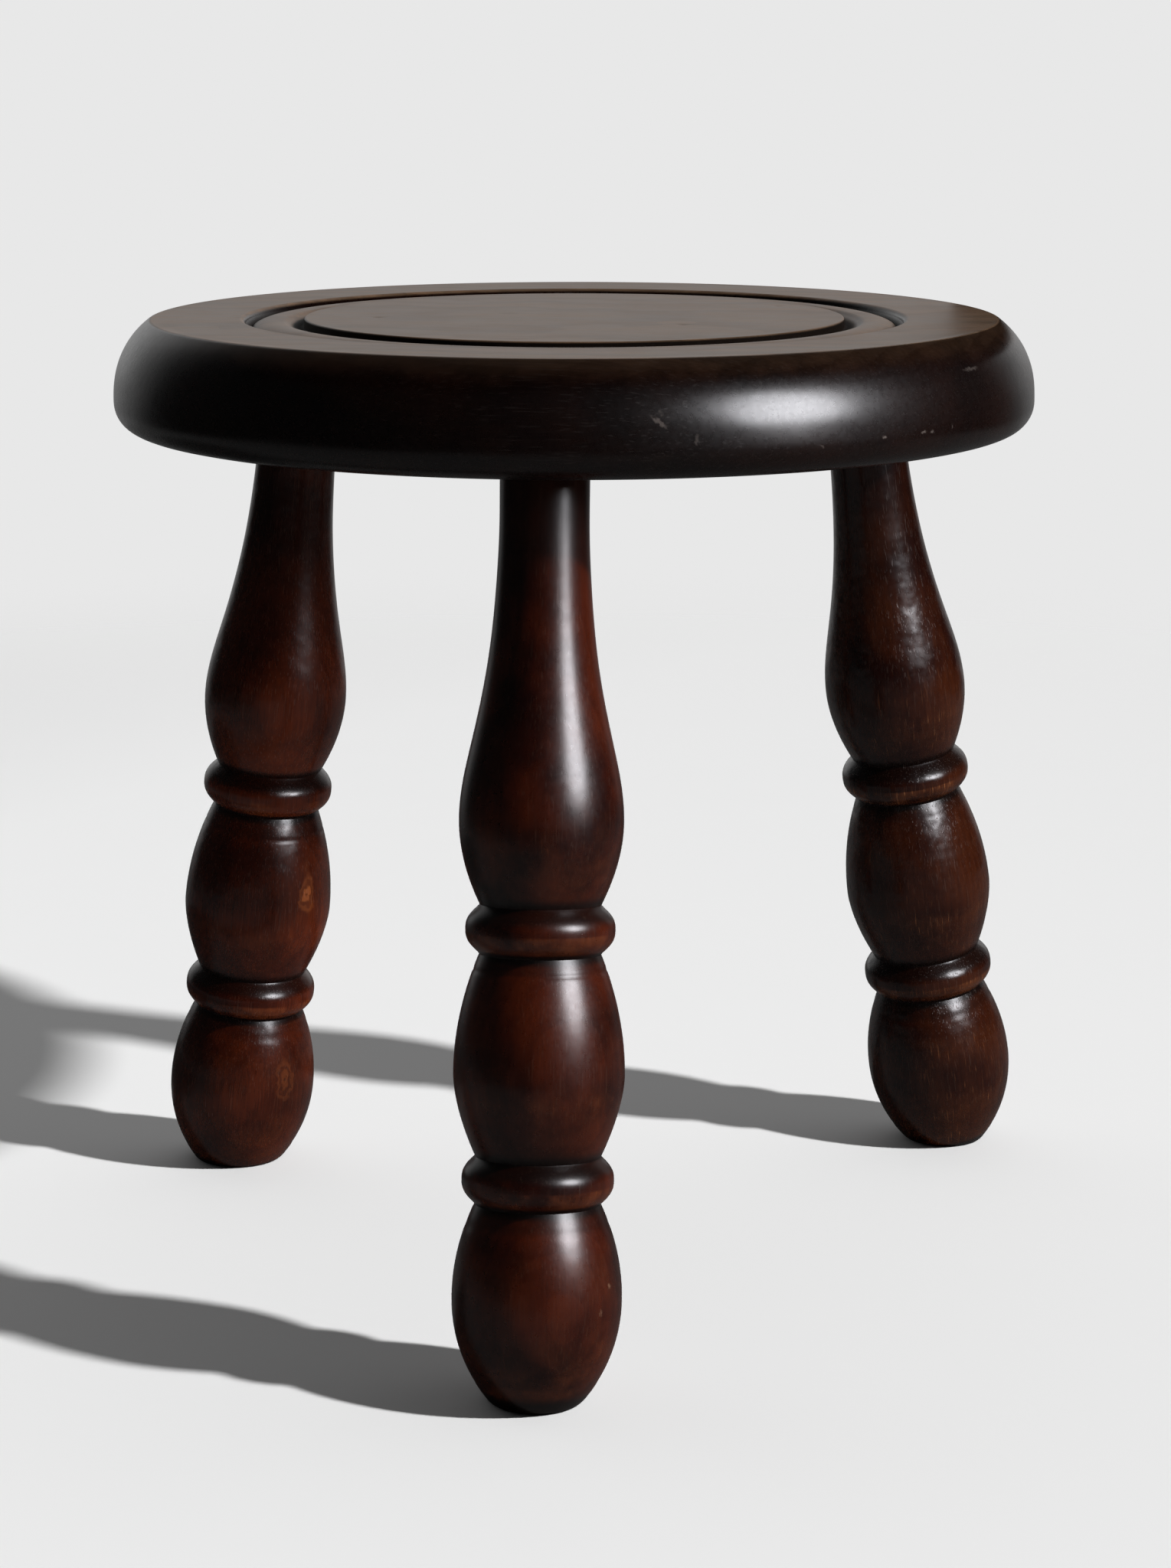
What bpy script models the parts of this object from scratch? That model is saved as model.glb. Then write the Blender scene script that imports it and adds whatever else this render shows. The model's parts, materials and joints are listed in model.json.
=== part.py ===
"""Three-legged turned stool: a round moulded seat board on splayed baluster legs.

Lengths are in metres, +Z is up and the floor is z = 0. The front leg points along -Y.
Each leg ends in a round tenon, which a blind wedge spreads in an angled socket under the seat.
"""
import math

import bmesh
import bpy
from mathutils import Vector
from mathutils.geometry import interpolate_bezier

MM = 0.001

# Seat board
SEAT_HEIGHT = 312 * MM           # floor to the top face
SEAT_DIAMETER = 300 * MM
SEAT_THICKNESS = 34.7 * MM
TOP_ROUND_WIDTH = 16.3 * MM      # upper rounding of the edge, across the top face
TOP_ROUND_DEPTH = 25.6 * MM      # from the top face down to the widest line
BOTTOM_ROUND_WIDTH = 8 * MM      # lower rounding, across the underside

# Turned ring sunk in the top face, from the rim inwards: groove, bead, groove, middle disc
RIM_WIDTH = 41 * MM              # seat edge to the edge of the ring
RING_WIDTH = 21 * MM
OUTER_GROOVE_WIDTH = 3.8 * MM    # edge of the rim to the floor of the outer groove
OUTER_GROOVE_DEPTH = 4.2 * MM
INNER_GROOVE_WIDTH = 1.2 * MM    # edge of the disc to the floor of the inner groove
INNER_GROOVE_DEPTH = 3.4 * MM
BEAD_DROP = 1 * MM               # crest of the bead below the top face
BEAD_CREST_INSET = 13 * MM       # edge of the rim to the crest of the bead
RIM_LIP_ROUND = 2 * MM           # rounding where the rim turns down into the groove
DISC_LIP_ROUND = 0.8 * MM        # rounding on the edge of the disc

# How the legs stand. The sockets were bored by eye, so each leg stands a little differently:
# azimuth about the seat's axis and outward lean in degrees, and seat edge to leg axis at the underside.
FRONT_AZIMUTH = -90.0
FRONT_LEAN = 8.8
FRONT_INSET = 35 * MM
RIGHT_AZIMUTH = 39.4
RIGHT_LEAN = 9.7
RIGHT_INSET = 28 * MM
LEFT_AZIMUTH = 153.1
LEFT_LEAN = 7.2
LEFT_INSET = 40 * MM

# Leg turning, from the foot up; the tapered upper part of the vase takes up the rest
FOOT_TRIM = 4.2 * MM             # turned length lost when the feet are cut level
FOOT_TIP_LENGTH = 36 * MM        # turned end to the widest line of the foot
FOOT_TIP_ARC = 48 * MM           # radius of the curve below the widest line
FOOT_UPPER_LENGTH = 27.3 * MM
FOOT_RADIUS = 25.8 * MM
LOWER_RING_LENGTH = 16.1 * MM
LOWER_RING_RADIUS = 23.05 * MM
BARREL_LOWER_LENGTH = 24.6 * MM
BARREL_UPPER_LENGTH = 35.6 * MM
BARREL_RADIUS = 25.9 * MM
UPPER_RING_LENGTH = 15.7 * MM
UPPER_RING_RADIUS = 22.65 * MM
VASE_LOWER_LENGTH = 25 * MM
VASE_RADIUS = 24.8 * MM
NECK_LENGTH = 7 * MM             # straight stretch below the seat
NECK_RADIUS = 13.45 * MM
UPPER_WAIST_RADIUS = 18.4 * MM   # bottom of the grooves beside the upper ring
LOWER_WAIST_RADIUS = 19.1 * MM   # bottom of the grooves beside the lower ring
FILLET_LENGTH = 2.2 * MM         # small step above each ring
FILLET_RISE = 1.2 * MM

# How full each swelling is: 2 is a parabola, less is more pointed
VASE_LOWER_FULLNESS = 1.9
BARREL_UPPER_FULLNESS = 2.0
BARREL_LOWER_FULLNESS = 1.65
FOOT_UPPER_FULLNESS = 2.05
FILLET_FULLNESS = 2.0
NECK_EASE = 0.65                 # share of the vase's taper that leaves the neck gently
VASE_EASE = 0.22                 # share that runs into the widest line

# Joint between leg and seat
CLEARANCE = 0.3 * MM             # between pieces that fit together
SOCKET_ROOF = 11 * MM            # wood left above the highest point of a socket
TENON_CHAMFER = 1 * MM
WEDGE_LENGTH = 15 * MM
WEDGE_BUTT = 4.4 * MM            # thickness at the driven end
WEDGE_TIP = 1.6 * MM

# Facets: around each turning, and along the curves of its profile
SEAT_STEPS = 64
LEG_STEPS = 28
LIP_FACETS = 3
BEAD_FACETS = 4
UPPER_EDGE_FACETS = 8
LOWER_EDGE_FACETS = 4
TAPER_FACETS = 8
SWELL_FACETS = 5
RING_FACETS = 6
FILLET_FACETS = 2
FOOT_TIP_FACETS = 7
CUT_MARGIN = 8 * MM              # how far cutters reach past the faces they cut

SEAT_RADIUS = SEAT_DIAMETER / 2
UNDERSIDE = SEAT_HEIGHT - SEAT_THICKNESS
SOCKET_RADIUS = NECK_RADIUS + CLEARANCE


class LegPlace:
    """Line of one leg's axis: its azimuth, its lean and where it meets the underside of the seat."""

    def __init__(self, azimuth, lean, inset):
        self.azimuth = math.radians(azimuth)
        self.lean = math.radians(lean)
        self.outward = Vector((math.cos(self.azimuth), math.sin(self.azimuth), 0.0))
        self.start = self.outward * (SEAT_RADIUS - inset) + Vector((0.0, 0.0, UNDERSIDE))
        self.axis = Vector((0.0, 0.0, math.cos(self.lean))) - self.outward * math.sin(self.lean)

    def floor_length(self):
        """Length of the axis from the underside of the seat to the floor."""
        return UNDERSIDE / math.cos(self.lean)

    def socket_depth(self):
        """Length of the socket along its axis, from the underside."""
        room = SEAT_THICKNESS - SOCKET_ROOF - SOCKET_RADIUS * math.sin(self.lean)
        return room / math.cos(self.lean)

    def tenon_length(self):
        return self.socket_depth() - CLEARANCE

    def carry(self, item):
        """Put an item's origin where the axis meets the underside, its Z along the axis."""
        item.location = self.start
        item.rotation_euler = (0.0, -self.lean, self.azimuth)


LEGS = {
    "front": LegPlace(FRONT_AZIMUTH, FRONT_LEAN, FRONT_INSET),
    "right": LegPlace(RIGHT_AZIMUTH, RIGHT_LEAN, RIGHT_INSET),
    "left": LegPlace(LEFT_AZIMUTH, LEFT_LEAN, LEFT_INSET),
}


def clear_scene():
    for item in list(bpy.data.objects):
        bpy.data.objects.remove(item, do_unlink=True)


def make_collection(name):
    group = bpy.data.collections.new(name)
    bpy.context.scene.collection.children.link(group)
    return group


def make_material(name, colour, roughness):
    material = bpy.data.materials.new(name)
    material.use_nodes = True
    shader = material.node_tree.nodes["Principled BSDF"]
    shader.inputs["Base Color"].default_value = (*colour, 1.0)
    shader.inputs["Roughness"].default_value = roughness
    shader.inputs["Metallic"].default_value = 0.0
    return material


def add_mesh_object(name, mesh, group, parent=None):
    item = bpy.data.objects.new(name, mesh)
    item.parent = parent
    group.objects.link(item)
    return item


def turned_mesh(name, profile):
    """Edge chain in the XZ plane from (radius, height) pairs, top to bottom."""
    mesh = bpy.data.meshes.new(name)
    points = [(radius, 0.0, height) for radius, height in profile]
    links = [(i, i + 1) for i in range(len(points) - 1)]
    mesh.from_pydata(points, links, [])
    return mesh


def add_screw(item, steps):
    screw = item.modifiers.new("Turn", "SCREW")
    screw.axis = "Z"
    screw.steps = steps
    screw.render_steps = steps
    screw.use_merge_vertices = True
    screw.merge_threshold = 0.00001
    screw.use_smooth_shade = True


def add_cut(item, cutter):
    cut = item.modifiers.new("Cut " + cutter.name, "BOOLEAN")
    cut.operation = "DIFFERENCE"
    cut.solver = "EXACT"
    cut.object = cutter


def mark_cutter(item):
    item.hide_render = True
    item.display_type = "WIRE"


def quarter_ellipse(centre, half_width, half_height, start, count):
    """Points over a quarter turn clockwise from the start angle, in (radius, height)."""
    points = []
    for i in range(count + 1):
        angle = math.radians(start - 90 * i / count)
        points.append((centre[0] + half_width * math.cos(angle),
                       centre[1] + half_height * math.sin(angle)))
    return points


def seat_profile():
    """From the middle of the top face out over the ring and the edge to the middle of the underside."""
    rim_edge = SEAT_RADIUS - RIM_WIDTH
    disc_edge = rim_edge - RING_WIDTH
    inner_floor = disc_edge + INNER_GROOVE_WIDTH
    outer_floor = rim_edge - OUTER_GROOVE_WIDTH
    crest = rim_edge - BEAD_CREST_INSET
    top = SEAT_HEIGHT
    widest = top - TOP_ROUND_DEPTH

    points = [(0.0, top)]
    points += quarter_ellipse((disc_edge - DISC_LIP_ROUND, top - DISC_LIP_ROUND),
                              DISC_LIP_ROUND, DISC_LIP_ROUND, 90, LIP_FACETS)
    bead_inner = quarter_ellipse((crest, top - INNER_GROOVE_DEPTH),
                                 crest - inner_floor, INNER_GROOVE_DEPTH - BEAD_DROP, 180, BEAD_FACETS)
    bead_outer = quarter_ellipse((crest, top - OUTER_GROOVE_DEPTH),
                                 outer_floor - crest, OUTER_GROOVE_DEPTH - BEAD_DROP, 90, BEAD_FACETS)
    points += bead_inner + bead_outer[1:]
    points += quarter_ellipse((rim_edge, top - RIM_LIP_ROUND),
                              RIM_LIP_ROUND, RIM_LIP_ROUND, 180, LIP_FACETS)
    points += quarter_ellipse((SEAT_RADIUS - TOP_ROUND_WIDTH, widest),
                              TOP_ROUND_WIDTH, TOP_ROUND_DEPTH, 90, UPPER_EDGE_FACETS)
    lower_edge = quarter_ellipse((SEAT_RADIUS - BOTTOM_ROUND_WIDTH, widest),
                                 BOTTOM_ROUND_WIDTH, widest - UNDERSIDE, 0, LOWER_EDGE_FACETS)
    points += lower_edge[1:]
    points.append((0.0, UNDERSIDE))
    return points


def turned_length():
    """The legs are turned alike, long enough for the one that reaches the floor last."""
    return max(place.floor_length() for place in LEGS.values()) + FOOT_TRIM


def swell(start, end, fullness, count):
    """Curve from a widest line to a waist, both (radius, height), without its first point."""
    points = []
    for i in range(1, count + 1):
        share = i / count
        points.append((start[0] + (end[0] - start[0]) * share ** fullness,
                       start[1] + (end[1] - start[1]) * share))
    return points


def ring(radius, waist, top, length):
    """Fillet and half-round ring below the waist at the top height."""
    fillet_end = top - FILLET_LENGTH
    half = (length - FILLET_LENGTH) / 2
    fillet_edge = (waist + FILLET_RISE, fillet_end)
    points = swell(fillet_edge, (waist, top), FILLET_FULLNESS, FILLET_FACETS)[-2::-1] + [fillet_edge]
    for i in range(1, RING_FACETS + 1):
        angle = math.pi * i / RING_FACETS
        base = waist + FILLET_RISE * (1 + math.cos(angle)) / 2
        points.append((base + (radius - waist - FILLET_RISE / 2) * math.sin(angle),
                       fillet_end - half + half * math.cos(angle)))
    return points


def leg_profile(tenon_length):
    """From the end of the tenon down to the end of the foot; height 0 is the underside of the seat."""
    foot_end = -turned_length()
    foot_widest = foot_end + FOOT_TIP_LENGTH
    foot_top = foot_widest + FOOT_UPPER_LENGTH
    barrel_bottom = foot_top + LOWER_RING_LENGTH
    barrel_widest = barrel_bottom + BARREL_LOWER_LENGTH
    barrel_top = barrel_widest + BARREL_UPPER_LENGTH
    vase_bottom = barrel_top + UPPER_RING_LENGTH
    vase_widest = vase_bottom + VASE_LOWER_LENGTH
    taper = -NECK_LENGTH - vase_widest

    points = [(0.0, tenon_length),
              (NECK_RADIUS - TENON_CHAMFER, tenon_length),
              (NECK_RADIUS, tenon_length - TENON_CHAMFER)]
    curve = interpolate_bezier(Vector((NECK_RADIUS, -NECK_LENGTH)),
                               Vector((NECK_RADIUS, -NECK_LENGTH - NECK_EASE * taper)),
                               Vector((VASE_RADIUS, vase_widest + VASE_EASE * taper)),
                               Vector((VASE_RADIUS, vase_widest)), TAPER_FACETS + 1)
    points += [(p.x, p.y) for p in curve]
    points += swell((VASE_RADIUS, vase_widest), (UPPER_WAIST_RADIUS, vase_bottom),
                    VASE_LOWER_FULLNESS, SWELL_FACETS)
    points += ring(UPPER_RING_RADIUS, UPPER_WAIST_RADIUS, vase_bottom, UPPER_RING_LENGTH)
    barrel_rise = swell((BARREL_RADIUS, barrel_widest), (UPPER_WAIST_RADIUS, barrel_top),
                        BARREL_UPPER_FULLNESS, SWELL_FACETS)
    points += barrel_rise[-2::-1]
    points.append((BARREL_RADIUS, barrel_widest))
    points += swell((BARREL_RADIUS, barrel_widest), (LOWER_WAIST_RADIUS, barrel_bottom),
                    BARREL_LOWER_FULLNESS, SWELL_FACETS)
    points += ring(LOWER_RING_RADIUS, LOWER_WAIST_RADIUS, barrel_bottom, LOWER_RING_LENGTH)
    foot_rise = swell((FOOT_RADIUS, foot_widest), (LOWER_WAIST_RADIUS, foot_top),
                      FOOT_UPPER_FULLNESS, SWELL_FACETS)
    points += foot_rise[-2::-1]
    reach = math.asin(FOOT_TIP_LENGTH / FOOT_TIP_ARC)
    for i in range(FOOT_TIP_FACETS + 1):
        angle = reach * i / FOOT_TIP_FACETS
        points.append((FOOT_RADIUS - FOOT_TIP_ARC * (1 - math.cos(angle)),
                       foot_widest - FOOT_TIP_ARC * math.sin(angle)))
    points.append((0.0, foot_end))
    return points


def leg_span(direction, place):
    """How far a leg reaches from the seat's axis in a level direction."""
    across = math.sqrt(1 - place.axis.dot(direction) ** 2)
    return max((place.start + place.axis * height).dot(direction) + radius * across
               for radius, height in leg_profile(place.tenon_length()))


def stool_span(direction):
    """Greatest reach of the whole stool from the seat's axis in a level direction."""
    return max([SEAT_RADIUS] + [leg_span(direction, place) for place in LEGS.values()])


def footprint_offset():
    """Place of the seat's axis that puts the middle of the stool's footprint at the origin."""
    along_x = Vector((1.0, 0.0, 0.0))
    along_y = Vector((0.0, 1.0, 0.0))
    return Vector(((stool_span(-along_x) - stool_span(along_x)) / 2,
                   (stool_span(-along_y) - stool_span(along_y)) / 2, 0.0))


def taper_mesh(name, length, breadth, butt, tip):
    """Wedge with its butt at height 0 and its tip below, broad along Y and thin along X."""
    mesh = bpy.data.meshes.new(name)
    shape = bmesh.new()
    bmesh.ops.create_cube(shape, size=1.0)
    for corner in shape.verts:
        thickness = butt if corner.co.z > 0 else tip
        corner.co = (corner.co.x * thickness, corner.co.y * breadth, (corner.co.z - 0.5) * length)
    shape.to_mesh(mesh)
    shape.free()
    return mesh


def add_wedge(name, group, leg, place):
    """The wedge lies across the grain of the seat, which runs along X."""
    breadth = 2 * (math.sqrt(NECK_RADIUS ** 2 - (WEDGE_BUTT / 2) ** 2) - CLEARANCE)
    wedge = add_mesh_object(name, taper_mesh(name, WEDGE_LENGTH, breadth, WEDGE_BUTT, WEDGE_TIP), group, leg)
    wedge.location = (0.0, 0.0, place.tenon_length())
    wedge.rotation_euler = (0.0, 0.0, -place.azimuth)
    return wedge


def add_kerf(name, group, leg, place):
    """Slot for a wedge: the wedge with clearance, carried on past the end of the tenon."""
    slope = (WEDGE_BUTT - WEDGE_TIP) / WEDGE_LENGTH
    length = WEDGE_LENGTH + CLEARANCE + CUT_MARGIN
    butt = WEDGE_BUTT + 2 * CLEARANCE + slope * CUT_MARGIN
    tip = WEDGE_TIP + 2 * CLEARANCE - slope * CLEARANCE
    breadth = 2 * (NECK_RADIUS + CUT_MARGIN)
    kerf = add_mesh_object(name, taper_mesh(name, length, breadth, butt, tip), group, leg)
    kerf.location = (0.0, 0.0, place.tenon_length() + CUT_MARGIN)
    kerf.rotation_euler = (0.0, 0.0, -place.azimuth)
    mark_cutter(kerf)
    return kerf


def add_socket(name, group, parent, place):
    """Cutter for one blind socket, turned in the same steps as the tenon that fills it."""
    depth = place.socket_depth()
    profile = [(0.0, depth), (SOCKET_RADIUS, depth), (SOCKET_RADIUS, -CUT_MARGIN), (0.0, -CUT_MARGIN)]
    socket = add_mesh_object(name, turned_mesh(name, profile), group, parent)
    add_screw(socket, LEG_STEPS)
    place.carry(socket)
    mark_cutter(socket)
    return socket


def add_floor_cutter(group):
    """Block below the floor that cuts the feet level."""
    mesh = bpy.data.meshes.new("floor_cut")
    shape = bmesh.new()
    bmesh.ops.create_cube(shape, size=1.0)
    side = 2 * (SEAT_DIAMETER + SEAT_HEIGHT)
    depth = FOOT_TIP_LENGTH + CUT_MARGIN
    for corner in shape.verts:
        corner.co = (corner.co.x * side, corner.co.y * side, (corner.co.z - 0.5) * depth)
    shape.to_mesh(mesh)
    shape.free()
    block = add_mesh_object("floor_cut", mesh, group)
    mark_cutter(block)
    return block


def add_seat(group, axis, material):
    seat = add_mesh_object("seat", turned_mesh("seat", seat_profile()), group, axis)
    seat.data.materials.append(material)
    add_screw(seat, SEAT_STEPS)
    return seat


def add_leg(name, group, axis, material, place):
    leg = add_mesh_object(name, turned_mesh(name, leg_profile(place.tenon_length())), group, axis)
    leg.data.materials.append(material)
    add_screw(leg, LEG_STEPS)
    place.carry(leg)
    return leg


def build_stool():
    clear_scene()
    parts = make_collection("tripod_stool")
    cutters = make_collection("cutters")
    stained = make_material("stained_beech", (0.045, 0.016, 0.009), 0.32)
    pale = make_material("bare_beech", (0.46, 0.30, 0.17), 0.7)

    axis = bpy.data.objects.new("stool_axis", None)
    axis.location = footprint_offset()
    parts.objects.link(axis)

    seat = add_seat(parts, axis, stained)
    floor_cutter = add_floor_cutter(cutters)
    for side, place in LEGS.items():
        add_cut(seat, add_socket("socket_" + side, cutters, axis, place))
        leg = add_leg("leg_" + side, parts, axis, stained, place)
        add_cut(leg, add_kerf("kerf_" + side, cutters, leg, place))
        add_cut(leg, floor_cutter)
        wedge = add_wedge("wedge_" + side, parts, leg, place)
        wedge.data.materials.append(pale)


build_stool()
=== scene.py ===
import json
import math

import bmesh
import bpy
from mathutils import Matrix, Vector, noise


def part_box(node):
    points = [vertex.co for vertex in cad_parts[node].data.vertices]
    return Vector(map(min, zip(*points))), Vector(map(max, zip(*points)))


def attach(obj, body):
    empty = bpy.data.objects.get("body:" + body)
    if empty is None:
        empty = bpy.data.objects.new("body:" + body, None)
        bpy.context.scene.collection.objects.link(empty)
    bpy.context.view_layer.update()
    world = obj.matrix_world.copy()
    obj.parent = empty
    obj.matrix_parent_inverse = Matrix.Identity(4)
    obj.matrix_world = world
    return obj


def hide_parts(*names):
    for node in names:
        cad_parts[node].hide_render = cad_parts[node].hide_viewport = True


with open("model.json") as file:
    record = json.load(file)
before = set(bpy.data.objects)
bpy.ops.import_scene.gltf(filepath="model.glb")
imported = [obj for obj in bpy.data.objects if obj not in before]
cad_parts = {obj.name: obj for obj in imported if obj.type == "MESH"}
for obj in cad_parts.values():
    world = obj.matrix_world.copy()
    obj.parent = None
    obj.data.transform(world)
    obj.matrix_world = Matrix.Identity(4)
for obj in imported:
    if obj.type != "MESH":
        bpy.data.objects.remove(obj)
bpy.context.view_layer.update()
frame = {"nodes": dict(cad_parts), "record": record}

mm = 0.001
perMetre = 1000.0
nought = (0.0, 0.0, 0.0)
usualRough = 0.55  # weight of the finer detail in a noise
mounts = {mount["name"]: mount for mount in frame["record"]["mounts"]}
seatAxis = Vector((mounts["seat_top"]["pos_m"][0], mounts["seat_top"]["pos_m"][1], 0.0))
print("frame loaded:", sorted(frame["nodes"]))


def inRadians(angles):
    return [math.radians(angle) for angle in angles]


# camera where the photographer stood, a little above the seat
cameraLook = {
    "place": (0.08762, -1.14803, 0.41616),
    "turn": (77.392, 0.0, 4.15),  # degrees
    "lens": 81.64,
    "film": 36.0,
    "near": 0.05,
    "far": 60.0,
}


def placeCamera():
    look = cameraLook
    scene = bpy.context.scene
    lens = bpy.data.cameras.new("camera")
    lens.lens = look["lens"]
    lens.sensor_fit = "VERTICAL"
    lens.sensor_height = look["film"]
    lens.sensor_width = look["film"]
    lens.clip_start = look["near"]
    lens.clip_end = look["far"]
    camera = bpy.data.objects.new("camera", lens)
    camera.location = look["place"]
    camera.rotation_euler = inRadians(look["turn"])
    scene.collection.objects.link(camera)
    scene.camera = camera
    scene.view_settings.view_transform = "Standard"


placeCamera()
print("camera placed")


# small node helpers
def put(tree, kind, inputs=None, **settings):
    made = tree.nodes.new(kind)
    for key, value in settings.items():
        setattr(made, key, value)
    for key, value in (inputs or {}).items():
        if isinstance(value, bpy.types.NodeSocket):
            tree.links.new(value, made.inputs[key])
        else:
            made.inputs[key].default_value = value
    return made


def sums(tree, operation, first, second=0.0, third=0.0):
    return put(tree, "ShaderNodeMath", {0: first, 1: second, 2: third}, operation=operation).outputs[0]


def vectors(tree, operation, first, second=nought, third=nought):
    return put(tree, "ShaderNodeVectorMath", {0: first, 1: second, 2: third}, operation=operation).outputs[0]


def lengthOf(tree, vector):
    return put(tree, "ShaderNodeVectorMath", {0: vector}, operation="LENGTH").outputs["Value"]


def apart(tree, vector):
    return put(tree, "ShaderNodeSeparateXYZ", {0: vector}).outputs


def shift(tree, amount, under, over):
    return put(tree, "ShaderNodeMix", {0: amount, 2: under, 3: over}, data_type="FLOAT").outputs[0]


def span(tree, value, low, high, toLow=0.0, toHigh=1.0):
    limits = {"Value": value, "From Min": low, "From Max": high, "To Min": toLow, "To Max": toHigh}
    return put(tree, "ShaderNodeMapRange", limits, interpolation_type="SMOOTHSTEP").outputs[0]


def tint(tree, amount, under, over, mode="MIX"):
    mixed = put(tree, "ShaderNodeMix", {0: amount}, data_type="RGBA", blend_type=mode)
    for index, colour in ((6, under), (7, over)):
        if isinstance(colour, bpy.types.NodeSocket):
            tree.links.new(colour, mixed.inputs[index])
        else:
            mixed.inputs[index].default_value = (*colour, 1.0)
    return mixed.outputs[2]


def stretch(tree, vector, scale, move=nought, turn=nought):
    mapping = {"Vector": vector, "Location": move, "Rotation": inRadians(turn), "Scale": scale}
    return put(tree, "ShaderNodeMapping", mapping).outputs[0]


def speckle(tree, vector, scale, detail=2.0, rough=usualRough):
    return put(tree, "ShaderNodeTexNoise",
               {"Vector": vector, "Scale": scale, "Detail": detail, "Roughness": rough})


def grains(tree, vector, look, turn=nought):  # a noise drawn out along the wood
    drawn = stretch(tree, vector, look["draw"], look.get("move", nought), turn)
    return speckle(tree, drawn, 1.0, look["detail"], look.get("rough", usualRough)).outputs["Fac"]


def blots(tree, vector, look):  # a noise that is alike all ways
    return speckle(tree, vector, look["scale"], look["detail"], look.get("rough", usualRough)).outputs["Fac"]


def drift(tree, vector, look):  # moves each point about by up to half the reach
    sway = vectors(tree, "SUBTRACT", speckle(tree, vector, look["scale"]).outputs["Color"], (0.5, 0.5, 0.5))
    return vectors(tree, "MULTIPLY_ADD", sway, [look["reach"]] * 3, vector)


def marked(tree, name):
    return put(tree, "ShaderNodeAttribute", attribute_name=name).outputs["Fac"]


def plainlySeen(tree, path):
    return sums(tree, "MAXIMUM", path["Is Camera Ray"], path["Is Transmission Ray"])


def newMaterial(name):
    material = bpy.data.materials.new(name)
    material.use_nodes = True
    tree = material.node_tree
    return material, tree, tree.nodes["Principled BSDF"]


def dress(tree, shader, colour, rough, height):  # height in millimetres
    bump = put(tree, "ShaderNodeBump", {"Height": height, "Strength": 1.0, "Distance": mm})
    for key, value in (("Base Color", colour), ("Roughness", rough), ("Normal", bump.outputs[0])):
        tree.links.new(value, shader.inputs[key])


def addObject(name, data):
    made = bpy.data.objects.new(name, data)
    bpy.context.scene.collection.objects.link(made)
    return made


def allBut(name, left):  # a collection for light linking that leaves one object out
    others = bpy.data.collections.new(name)
    others.objects.link(left)
    others.collection_objects[0].light_linking.link_state = "EXCLUDE"
    return others


# one hard lamp at the right throws the shadows, a broad one gives the lacquer its shine
# and a weak one lifts the dark sides; a level is what a white face turned to the lamp gives back
lampLook = {
    "lamp": {"place": (1.185, -0.426, 1.10), "radius": 0.035, "level": 1.25},
    "shine": {"place": (0.846, -0.551, 0.66), "aim": (0.0, -0.1, 0.15), "size": 0.52,
              "tint": (0.95, 0.955, 1.0), "mirrored": True, "level": 23.4},  # how bright the lamp itself is
    "fill": {"place": (1.55, -0.75, 0.25), "aim": (0.0, 0.0, 0.16), "size": 0.4,
             "tint": (1.0, 1.0, 1.0), "mirrored": False, "level": 0.46},
}


def addHardLamp(name):
    look = lampLook[name]
    light = bpy.data.lights.new(name, "POINT")
    light.energy = look["level"] * 4 * math.pi ** 2
    light.shadow_soft_size = look["radius"]
    light.use_nodes = True
    tree = light.node_tree
    falloff = put(tree, "ShaderNodeLightFalloff", {"Strength": 1.0, "Smooth": 0.0})
    tree.links.new(falloff.outputs["Constant"], tree.nodes["Emission"].inputs["Strength"])
    holder = addObject(name, light)
    holder.location = look["place"]
    holder.visible_glossy = False


def addDiskLamp(name):
    look = lampLook[name]
    aim = Vector(look["aim"]) - Vector(look["place"])
    light = bpy.data.lights.new(name, "AREA")
    light.shape = "DISK"
    light.size = look["size"]
    light.color = look["tint"]
    spread = light.size ** 2 / 4 if look["mirrored"] else aim.length_squared
    light.energy = look["level"] * math.pi ** 2 * spread
    holder = addObject(name, light)
    holder.location = look["place"]
    holder.rotation_euler = aim.to_track_quat("-Z", "Y").to_euler()
    holder.visible_diffuse = not look["mirrored"]
    holder.visible_glossy = look["mirrored"]


# a white sweep stands behind the stool and the room in front of it is dark;
# a turn is the backward part of a direction, a foot is its upward part
roomLook = {
    "pale": 0.807,  # floor and background as the camera sees them
    "back": 0.44,  # soft light from behind
    "front": 0.012,  # and from in front
    "softTurn": (-0.35, 0.55),
    "sweepTurn": (0.6, 1.02),  # where the lacquer mirrors the sweep
    "sweepSlant": 0.12,  # it reaches further round at the left
    "sweepFoot": (-0.12, 0.08),
    "sweepShare": (0.45, 0.93),  # its share of the pale level below and above its foot
}


def paintRoom():
    look = roomLook
    world = bpy.data.worlds.new("room")
    bpy.context.scene.world = world
    world.use_nodes = True
    tree = world.node_tree
    way = apart(tree, put(tree, "ShaderNodeTexCoord").outputs["Generated"])
    path = put(tree, "ShaderNodeLightPath").outputs
    soft = span(tree, way["Y"], *look["softTurn"], look["front"], look["back"])
    slanted = sums(tree, "MULTIPLY_ADD", way["X"], -look["sweepSlant"], way["Y"])
    sweep = span(tree, slanted, *look["sweepTurn"], look["front"], look["pale"])
    sweep = sums(tree, "MULTIPLY", sweep, span(tree, way["Z"], *look["sweepFoot"], *look["sweepShare"]))
    level = shift(tree, path["Is Glossy Ray"], soft, sweep)
    level = shift(tree, plainlySeen(tree, path), level, look["pale"])
    tree.links.new(level, tree.nodes["Background"].inputs["Color"])


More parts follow.
